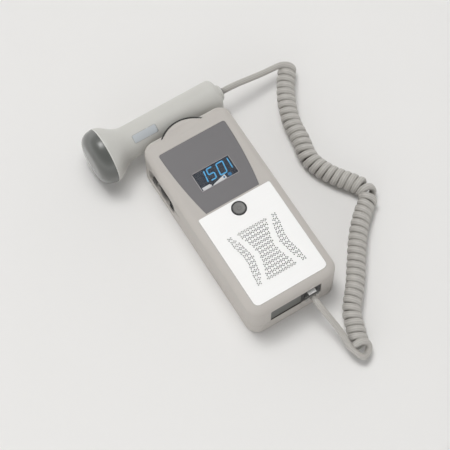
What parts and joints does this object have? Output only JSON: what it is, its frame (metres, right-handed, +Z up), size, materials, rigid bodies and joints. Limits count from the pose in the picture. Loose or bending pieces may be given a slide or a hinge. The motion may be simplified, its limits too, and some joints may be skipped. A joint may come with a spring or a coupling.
{
  "type": "fetal doppler monitor",
  "caption": "Hand-held fetal doppler: flat case with display, perforated speaker plate and push button, a flared probe resting in an end cradle, and a curly cord to a modular plug.",
  "frame": {"origin": "centre of the case's flat base, on the surface it lies on", "axes": "+Z up out of the display face, +Y along the case from the cord socket towards the probe, +X across the case towards the side where the curly cord lies"},
  "size_m": [0.1793, 0.2585, 0.0443],
  "materials": {
    "case_plastic": "fine moulded texture",
    "probe_plastic": "satin",
    "cap_plastic": "semi-gloss",
    "plate_metal": "brushed",
    "panel_plastic": "satin",
    "frame_plastic": "gloss",
    "lens_plastic": "clear gloss",
    "display_glass": "gloss",
    "black_plastic": "matt",
    "strip_rubber": "matt",
    "button_plastic": "satin",
    "end_panel_plastic": "matt",
    "clear_plastic": "clear gloss",
    "circuit_board": "solder mask",
    "battery_wrap": "printed film",
    "steel": "zinc plated",
    "magnet_steel": "plated",
    "gold": "plated",
    "speaker_paper": "pressed paper",
    "ceramic": "fired ceramic",
    "resin": "cast resin",
    "cord_plastic": "satin"
  },
  "bodies": {
    "case": {"front_shell": "case_plastic", "rear_shell": "case_plastic", "battery": "battery_wrap", "battery_snap": "black_plastic", "speaker_plate": "plate_metal", "display_panel": "panel_plastic", "window_frame": "frame_plastic", "display_lens": "lens_plastic", "display_glass": "display_glass", "display_carrier": "black_plastic", "button_bezel": "black_plastic", "tact_switch": "black_plastic", "speaker_basket": "black_plastic", "speaker_cone": "speaker_paper", "speaker_magnet": "magnet_steel", "main_board": "circuit_board", "display_board": "circuit_board", "board_link": "black_plastic", "shell_screws": "steel", "board_screws": "steel", "volume_control": "black_plastic", "headphone_jack": "black_plastic", "power_jack": "black_plastic", "side_panel": "end_panel_plastic", "end_panel": "end_panel_plastic", "probe_socket": "black_plastic", "plug_body": "clear_plastic", "plug_contacts": "gold", "plug_latch": "clear_plastic", "probe_cradle": "case_plastic", "cradle_strip": "strip_rubber", "cradle_screws": "steel", "cord_lead_probe": "cord_plastic", "cord_coil": "cord_plastic", "cord_lead_case": "cord_plastic"},
    "power_button": {"power_button": "button_plastic", "switch_plunger": "black_plastic"},
    "volume_wheel": {"volume_wheel": "black_plastic", "volume_axle": "steel"},
    "battery_cover": {"battery_cover": "case_plastic"},
    "probe": {"probe_shell_upper": "probe_plastic", "probe_shell_lower": "probe_plastic", "probe_face_cap": "cap_plastic", "transducer_crystals": "ceramic", "transducer_backing": "resin", "probe_board": "circuit_board", "cord_grommet": "black_plastic"}
  },
  "joints": [
    {"name": "button_press", "type": "slide", "parent": "case", "child": "power_button", "axis": [0, 0, -1], "range_m": [0, 0.0008], "stiffness_N_per_m": 2500},
    {"name": "wheel_turn", "type": "hinge", "parent": "case", "child": "volume_wheel", "pos_m": [-0.0285, 0.0485, 0.0135], "axis": [0, 0, 1], "range_deg": [-150, 150]},
    {"name": "cover_slide", "type": "slide", "parent": "case", "child": "battery_cover", "axis": [0, -1, 0], "range_m": [0, 0.012]},
    {"name": "probe_lift", "type": "slide", "parent": "case", "child": "probe", "axis": [0, 0.3419, 0.9397], "range_m": [0, 0.04]}
  ]
}
